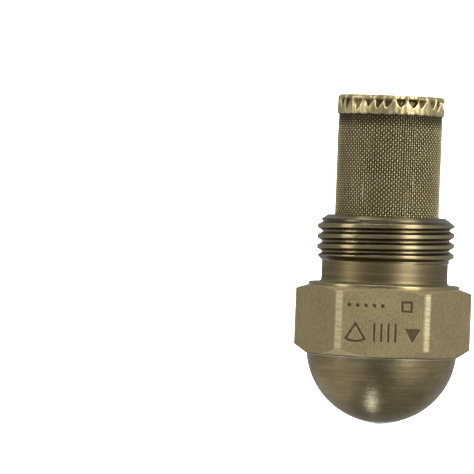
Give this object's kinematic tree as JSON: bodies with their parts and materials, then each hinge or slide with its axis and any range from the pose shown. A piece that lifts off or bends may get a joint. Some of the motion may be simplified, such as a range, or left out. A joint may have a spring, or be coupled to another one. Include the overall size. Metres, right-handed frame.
{
  "type": "oil burner nozzle",
  "caption": "Domed hexagonal oil burner nozzle with a spray orifice, threaded shank and a screw-in woven-wire strainer with a crimped end cap.",
  "frame": {"origin": "on the axis, in the plane of the rim of the spray outlet at the bottom of the dome", "axes": "+Z along the nozzle's axis from the spray outlet towards the strainer's end cap; -Y is normal to the marked wrench flat"},
  "size_m": [0.0182, 0.016, 0.0338],
  "materials": {
    "nozzle_body": "turned and tumbled, dull olive brown",
    "orifice_disc": "turned",
    "swirl_distributor": "turned",
    "retaining_screw": "turned",
    "strainer_gasket": "soft copper, dull",
    "strainer_base": "turned",
    "strainer_cage": "punched strip",
    "strainer_mesh": "woven wire cloth",
    "mesh_seam": "soldered lap",
    "base_ferrule": "pressed",
    "strainer_cap": "pressed and crimped, bright"
  },
  "bodies": {
    "nozzle": {"nozzle_body": "nozzle_body", "orifice_disc": "orifice_disc"},
    "distributor": {"swirl_distributor": "swirl_distributor"},
    "screw": {"retaining_screw": "retaining_screw"},
    "gasket": {"strainer_gasket": "strainer_gasket"},
    "strainer": {"strainer_base": "strainer_base", "strainer_cage": "strainer_cage", "strainer_mesh": "strainer_mesh", "mesh_seam": "mesh_seam", "base_ferrule": "base_ferrule", "strainer_cap": "strainer_cap"}
  },
  "joints": [
    {"name": "distributor_lift", "type": "slide", "parent": "nozzle", "child": "distributor", "axis": [0, 0, 1], "range_m": [0, 0.00106]},
    {"name": "retaining_screw_turn", "type": "hinge", "parent": "distributor", "child": "screw", "pos_m": [0, 0, 0.01], "axis": [0, 0, 1], "range_deg": [0, 360]},
    {"name": "strainer_lift", "type": "slide", "parent": "nozzle", "child": "gasket", "axis": [0, 0, 1], "range_m": [0, 0.00529]},
    {"name": "strainer_turn", "type": "hinge", "parent": "gasket", "child": "strainer", "pos_m": [0, 0, 0.02], "axis": [0, 0, 1], "range_deg": [0, 1800]}
  ],
  "couplings": [
    {"joint": "retaining_screw_turn", "follows": "distributor_lift", "rad_per_m": 5936.9},
    {"joint": "strainer_turn", "follows": "strainer_lift", "rad_per_m": 5936.9}
  ]
}
